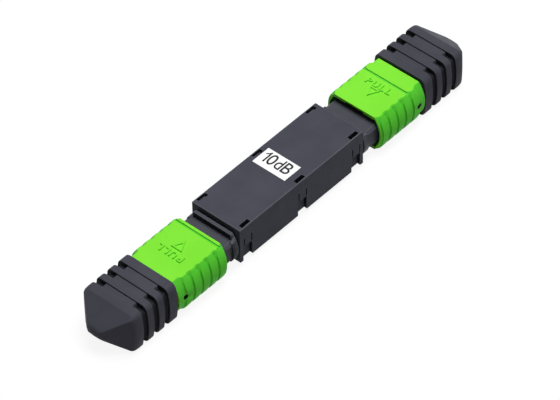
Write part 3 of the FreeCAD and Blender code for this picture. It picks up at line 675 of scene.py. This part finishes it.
def rib_bar(corner):
    """Between their ends the ribs are broad bars, so their edges lie near the valleys there.

    The valleys run out towards the top and deepen towards the bottom, and the side hole has a level rim.
    A height on the round side of the sleeve is an angle in degrees.
    """
    side, bore, crest = 3, 5.3, 5.7
    half_rib, broadening, run_out, deepening = 0.6, 0.4, 0.2, 0.18
    hole_reach, hole_level, hole_clear = 0.55, 5.5, 0.6
    place, across, rise = abs(corner.x), abs(corner.y) - GRIP_CENTRE, corner.z - AXIS
    radius, height = math.hypot(across, rise), math.degrees(math.atan2(rise, across))
    if across < side or radius < bore:
        return corner
    valley = rib_valley(place)
    offset = place - valley
    depth = radius
    if math.hypot(place - SLEEVE_HOLE, rise) < hole_reach:
        depth = min(radius, hole_level)
    elif abs(offset) < TOUCH and FIRST_VALLEY < valley < LAST_VALLEY:
        depth = radius + run_out * share(height, 33, 40) - deepening * share(-height, 20, 28)
    elif radius > crest and abs(abs(offset) - half_rib) < TOUCH:
        broad = share(abs(height), 36, 22)
        if valley == LAST_VALLEY:
            broad = min(broad, max(abs(rise) - hole_clear, 0))
        place = valley + math.copysign(abs(offset) - broadening * broad * broad * (3 - 2 * broad), offset)
    if abs(rise) > SLEEVE_FACE:
        across = math.sqrt(depth * depth - rise * rise)
    else:
        across, rise = across * depth / radius, rise * depth / radius
    across = math.copysign(across + GRIP_CENTRE, corner.y)
    return Vector((math.copysign(place, corner.x), across, rise + AXIS))


def sleeve_edge(middle, along, convex):
    """Round crests and crisp valleys on the ribs, soft corners above and below them, nothing inside."""
    hole_rim, rear_rim, rim, crest = 0.05, 0.02, 0.06, 0.1
    outside, rib_side, ribs_end = 5.7, 4.3, 29.4
    bore_height, bore_radius, roof = 3.45, 5.2, 3.6
    place, across, rise = abs(middle.x), abs(middle.y), abs(middle.z - AXIS)
    if in_sleeve_hole(middle):
        return hole_rim if across > outside else 0
    in_bore = rise < bore_height and math.hypot(across - GRIP_CENTRE, rise) < bore_radius
    under_roof = rise < roof and across < SLEEVE_SIDE
    at_rear = place < SLEEVE_REAR + NEAR
    on_side = across > rib_side
    if (in_bore or under_roof) and not at_rear and place < SLEEVE_FRONT - NEAR:
        return 0
    if on_sleeve_line(middle):
        return 0
    if at_rear and on_side:
        return rear_rim
    if on_side and not at_rear and place < ribs_end and abs(along.x) < CROSSWISE:
        return crest if convex else 0
    return crest if convex and on_side and place < SLEEVE_FRONT - 2 * NEAR else rim


def sleeve_tint(middle, normal):
    """Painted shade: black walls in the side hole, and deeper greens on the round sides and in the line
    grooves.
    """
    line_half, line_top = 3, 3.68
    if in_sleeve_hole(middle) and abs(normal.y) < CROSSWISE:
        return HOLE_SHADE
    level = abs(normal.z) > 0.8
    if on_sleeve_line(middle) and abs(middle.y) < line_half and abs(middle.z - AXIS) < line_top:
        return SOFT_SHADE if level else DEEP_SHADE
    return SOFT_SHADE if abs(middle.y) > SLEEVE_SIDE and not level else TOP


# Dust caps

def bent(start, middle, stop, shares):
    """Points at shares of a curve that leaves start towards the middle and comes from there to stop."""
    return [(1 - t) ** 2 * start + 2 * t * (1 - t) * middle + t * t * stop for t in shares]


def rim_corners(shape):
    """The corners of a shape's one open rim in their order."""
    neighbours = {}
    for edge in shape.edges:
        if edge.is_boundary:
            for vertex in edge.verts:
                neighbours.setdefault(vertex, []).append(edge.other_vert(vertex))
    loop = [next(iter(neighbours))]
    loop.append(neighbours[loop[0]][0])
    while len(loop) < len(neighbours):
        loop.append(next(vertex for vertex in neighbours[loop[-1]] if vertex is not loop[-2]))
    return loop


def cap_track(foot, turn, bend, rim):
    """Points from a corner of the cap's rim to its nose: a rounded shoulder, a slope and the rounded nose.

    The shoulder leaves the last ring at bend, and the first point is where it passes the rim.
    """
    nose_width, nose_height, roundness = 1.45, 0.8, 0.65
    slope_start, slope_stop = 0.1, 0.86
    steps, nose_steps = 4, 7
    across, rise = foot.y / CAP_HALF_WIDTH, (foot.z - AXIS) / CAP_HALF_HEIGHT
    back = min((1 - abs(across)) / (1 - nose_width / CAP_HALF_WIDTH),
               (1 - abs(rise)) / (1 - nose_height / CAP_HALF_HEIGHT))
    ridge = Vector((turn * (CAP_SHOULDER + (CAP_FRONT - CAP_SHOULDER) * back), foot.y, foot.z))
    oval = 1 - roundness + roundness / math.hypot(across, rise)
    nose = Vector((turn * CAP_FRONT, nose_width * across * oval, AXIS + nose_height * rise * oval))
    tip = Vector((turn * CAP_FRONT, 0, AXIS))
    low, high = ridge.lerp(nose, slope_start), ridge.lerp(nose, slope_stop)
    ahead, rest = abs(ridge.x) - bend, bend - 2 * abs(ridge.x) + abs(low.x)
    first = (rim - bend) / (ahead + math.sqrt(ahead * ahead + rest * (rim - bend)))
    rounding = bent(Vector((turn * bend, foot.y, foot.z)), ridge, low,
                    [first + (1 - first) * step / steps for step in range(steps + 1)])
    slope = [low.lerp(high, step / steps) for step in range(1, steps + 1)]
    return rounding + slope + bent(high, nose, tip, [step / nose_steps for step in range(1, nose_steps)])


def cap_end(shape):
    """The blunt end of a cap as one soft form: the outline of its last ring shrinks to a small oval nose."""
    turn = math.copysign(1, next(iter(shape.verts)).co.x)
    bend, rim, longest = 39.95, 40.62, 0.9 * MM
    for place in (bend, rim):
        everything = shape.verts[:] + shape.edges[:] + shape.faces[:]
        bmesh.ops.bisect_plane(shape, geom=everything, plane_co=(turn * place * MM, 0, 0),
                               plane_no=(turn, 0, 0), clear_outer=place == rim)
    long_edges = [edge for edge in shape.edges if edge.is_boundary and edge.calc_length() > longest]
    bmesh.ops.subdivide_edges(shape, edges=long_edges, cuts=9)
    near = rim_corners(shape)
    tracks = [cap_track(vertex.co / MM, turn, bend, rim) for vertex in near]
    rows = list(zip(*tracks))
    for vertex, point in zip(near, rows[0]):
        vertex.co = point * MM
    for row in rows[1:]:
        far = [shape.verts.new(point * MM) for point in row]
        bridged(shape, near, far)
        near = far
    shape.faces.new(near)
    bmesh.ops.recalc_face_normals(shape, faces=shape.faces)


def in_cap_groove(middle, reach):
    return any(abs(abs(middle.x) - groove) < reach for groove in CAP_GROOVES)


def cap_edge(middle, along, convex):
    """Crisp edges on the rings, and none in the grooves and on the soft end."""
    outer, inner, edge_reach = 0.09, 0.04, 0.5
    if abs(middle.x) > CAP_SHOULDER or in_cap_groove(middle, edge_reach):
        return 0
    return outer if convex else inner


def cap_tint(middle, normal):
    """Grooves and notches take painted shade, darker than the rings and the bridges between them."""
    half_width, height, wall_reach = 3.3, 3.7, 0.6
    across, rise = abs(middle.y), abs(middle.z - AXIS)
    on_bridge = across < half_width and rise > height and abs(normal.x) < CROSSWISE
    return PAINTED_SHADE if in_cap_groove(middle, wall_reach) and not on_bridge else PLAIN


# The pieces of the CAD model

softened("top_cover", HOUSING_BLACK + (PAINTED_SHADE_BLACK,), cover_edge,
         tint=cover_tint, rework=moved(wide_window))
softened("base_tray", HOUSING_BLACK + (PAINTED_SHADE_BLACK,), 0.06, tint=tray_tint)
softened("rating_label", [LABEL_PAPER], 0.02)
dressed("fibre_ribbon", RIBBON_COATING)
turned_pins("guide_pins_male")
for end in ENDS:
    softened("spring_push_" + end, CONNECTOR_BLACK + (PAINTED_SHADE_BLACK,), neck_edge,
             tint=neck_tint, rework=moved(low_neck))
    softened("plug_frame_" + end, CONNECTOR_BLACK, 0.06)
    softened("pull_sleeve_" + end, SLEEVE_MATERIALS, sleeve_edge,
             tint=sleeve_tint, highlight_edges=False, rework=moved(rib_bar))
    softened("dust_cap_" + end, CAP_BLACK + (PAINTED_SHADE_BLACK,), cap_edge,
             tint=cap_tint, rework=cap_end)
    softened("ferrule_" + end, FERRULE_RESIN, 0.03)
    softened("ferrule_boot_" + end, BOOT_RUBBER, 0.05)
    softened("pin_clamp_" + end, CONNECTOR_BLACK, 0.05)
    wound("ferrule_spring_" + end, wire=0.35, turns=6)
    for side in ("left_", "right_"):
        wound("sleeve_spring_" + side + end, wire=0.22, turns=9)


# Rating on the label

def rating_words():
    """The rating in four characters: a drawn one with a slanted flag, and three letters of the font."""
    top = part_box("rating_label")[1].z / MM
    foot, head, film = -0.92, 1.66, 0.01
    meshes = []
    for character, start, stop in (("0", 2.3, 0.85), ("d", 0.6, -0.68), ("B", -0.9, -2.45)):
        curve, across, upwards = letter(character, offset=0.008)
        place = fitted(across, upwards, start, stop, foot, head)
        meshes.append(raised(curve, place, top, film))
    one_start = 3.37
    one = [(0.58, 0), (0.9, 0), (0.9, 2.58), (0.68, 2.58),
           (0.36, 2.14), (0.0, 1.92), (0.0, 1.6), (0.58, 1.98)]
    meshes.append(raised(outline(one), lambda u, v: (foot + v, one_start - u), top, film))
    merged("rating_words", meshes, "housing", [LABEL_INK])


rating_words()


# Raised word and arrow on the sleeves

def sleeve_relief(end, foot, head, base, tip):
    """PULL with an arrow towards the housing; the male end faces the other way.

    Foot and head bound the letters, base and tip the arrow.
    """
    turn = ENDS[end]
    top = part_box("pull_sleeve_" + end)[1].z / MM
    rise, sunk = 0.24, 0.02
    half, stroke, side_stroke = 1.15, 0.32, 0.4
    word = (("P", 2.55, 1.45), ("U", 1.1, -0.1), ("L", -0.5, -1.45), ("L", -1.85, -2.8))
    meshes = []

    def turned(place):
        return lambda u, v: tuple(turn * value for value in place(u, v))

    for character, start, stop in word:
        curve, across, upwards = letter(character, offset=0.02)
        place = fitted(across, upwards, start, stop, foot, head)
        meshes.append(raised(curve, turned(place), top - sunk, rise + sunk))
    inner_half, inner_base, inner_tip = half - side_stroke, base - stroke, tip + 2 * stroke
    arrow = outline([(base, half), (base, -half), (tip, 0)],
                    [(inner_base, inner_half), (inner_base, -inner_half), (inner_tip, 0)])
    meshes.append(raised(arrow, turned(lambda u, v: (u, v)), top - sunk, rise + sunk))
    # The upright walls of the letters and the arrow take the deeper green of painted shade.
    merged("pull_relief_" + end, meshes, "sleeve_" + end, [SLEEVE_GREEN, SOFT_SHADE_GREEN])


sleeve_relief("female", foot=24.75, head=26.05, base=24.62, tip=22.35)
sleeve_relief("male", foot=25.45, head=26.8, base=24.85, tip=22.55)


# Polished fibre ends on the ferrule faces

def fibre_ends(end):
    """Twelve fibre ends in a row, a little proud of the slanted face of the ferrule."""
    turn = ENDS[end]
    slant = math.radians(8)
    normal = Vector((math.cos(slant), 0, -math.sin(slant))) * turn
    aim = normal.to_track_quat("Z", "Y").to_matrix().to_4x4()
    front = Vector((FERRULE_FRONT * turn, 0, AXIS)) * MM
    count, pitch = 12, 0.25 * MM
    radius, taper = 0.0625 * MM, 0.9
    length, proud = 0.03 * MM, 0.003 * MM
    shape = bmesh.new()
    for index in range(count):
        side = Vector((0, (index - (count - 1) / 2) * pitch, 0))
        place = Matrix.Translation(front + side + normal * (proud - length / 2))
        bmesh.ops.create_cone(shape, cap_ends=True, segments=16, radius1=radius, radius2=taper * radius,
                              depth=length, matrix=place @ aim)
    name = "fibre_ends_" + end
    mesh = finished(shape, name, [FIBRE_GLASS], smooth=False)
    new_piece(name, mesh, frame["nodes"]["ferrule_" + end]["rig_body"])


for end in ENDS:
    fibre_ends(end)


# Stage, light and camera

def seen_directly(tree):
    """A value of 1 for camera, glossy and transmission rays, which see the white background."""
    path = tree.nodes.new("ShaderNodeLightPath")
    total = path.outputs["Is Camera Ray"]
    for ray in ("Is Glossy Ray", "Is Transmission Ray"):
        either = tree.nodes.new("ShaderNodeMath")
        either.operation = "MAXIMUM"
        tree.links.new(total, either.inputs[0])
        tree.links.new(path.outputs[ray], either.inputs[1])
        total = either.outputs["Value"]
    return total


def floor_white():
    """White with a faint shadow where it is seen, and grey in the light that it throws back on the part."""
    thrown_back, seen_glow = 0.5, 0.9
    material = bpy.data.materials.new("floor_white")
    material.use_nodes = True
    tree = material.node_tree
    shader = tree.nodes["Principled BSDF"]
    shader.inputs["Roughness"].default_value = 0.8
    shader.inputs["Specular IOR Level"].default_value = 0.1
    tone = tree.nodes.new("ShaderNodeMapRange")
    tone.inputs["To Min"].default_value = thrown_back
    tone.inputs["To Max"].default_value = 1.0
    glow = tree.nodes.new("ShaderNodeEmission")
    glow.inputs["Strength"].default_value = 1.0
    amount = tree.nodes.new("ShaderNodeMath")
    amount.operation = "MULTIPLY"
    amount.inputs[1].default_value = seen_glow
    mix = tree.nodes.new("ShaderNodeMixShader")
    seen = seen_directly(tree)
    tree.links.new(seen, tone.inputs["Value"])
    tree.links.new(tone.outputs["Result"], shader.inputs["Base Color"])
    tree.links.new(seen, amount.inputs[0])
    tree.links.new(amount.outputs["Value"], mix.inputs["Fac"])
    tree.links.new(shader.outputs["BSDF"], mix.inputs[1])
    tree.links.new(glow.outputs["Emission"], mix.inputs[2])
    tree.links.new(mix.outputs["Shader"], tree.nodes["Material Output"].inputs["Surface"])
    return material


def stage_floor():
    """A wide floor on the rest plane; its size is in metres."""
    half = 3
    corners = [(-half, -half, 0), (half, -half, 0), (half, half, 0), (-half, half, 0)]
    mesh = bpy.data.meshes.new("floor")
    mesh.from_pydata(corners, [], [(0, 1, 2, 3)])
    mesh.materials.append(floor_white())
    floor = bpy.data.objects.new("floor", mesh)
    scene.collection.objects.link(floor)


def studio_world():
    """A faint light from all around, and white where the background is seen past the floor."""
    world = bpy.data.worlds.new("studio")
    scene.world = world
    world.use_nodes = True
    tree = world.node_tree
    light = tree.nodes["Background"]
    light.inputs["Color"].default_value = (1, 1, 1, 1)
    light.inputs["Strength"].default_value = 0.08
    backdrop = tree.nodes.new("ShaderNodeBackground")
    backdrop.inputs["Color"].default_value = (1, 1, 1, 1)
    backdrop.inputs["Strength"].default_value = 1.0
    mix = tree.nodes.new("ShaderNodeMixShader")
    tree.links.new(seen_directly(tree), mix.inputs["Fac"])
    tree.links.new(light.outputs["Background"], mix.inputs[1])
    tree.links.new(backdrop.outputs["Background"], mix.inputs[2])
    tree.links.new(mix.outputs["Shader"], tree.nodes["World Output"].inputs["Surface"])


def softbox(name, place, size, power):
    """A square area light that faces the object; its place and size are in metres."""
    lamp = bpy.data.lights.new(name, "AREA")
    lamp.size = size
    lamp.energy = power
    holder = bpy.data.objects.new(name, lamp)
    aim = Vector(place).to_track_quat("Z", "Y").to_matrix().to_4x4()
    holder.matrix_world = Matrix.Translation(place) @ aim
    scene.collection.objects.link(holder)


def photo_camera():
    """The camera of the photo, by its axes and its place in metres."""
    right = Vector((0.66102, -0.75025, -0.01331))
    up = Vector((0.53797, 0.46147, 0.70544))
    back = Vector((-0.52311, -0.47347, 0.70865))
    turn = Matrix((right, up, back)).transposed().to_4x4()
    camera = bpy.data.objects.new("photo_camera", bpy.data.cameras.new("photo_camera"))
    camera.data.sensor_fit = "HORIZONTAL"
    camera.data.sensor_width = 36
    camera.data.lens = 267.74
    camera.matrix_world = Matrix.Translation((-0.3610, -0.3270, 0.4894)) @ turn
    scene.collection.objects.link(camera)
    scene.camera = camera


stage_floor()
studio_world()
softbox("key", place=(0.12, -0.06, 0.96), size=0.5, power=10.2)
photo_camera()
scene.view_settings.view_transform = "Standard"
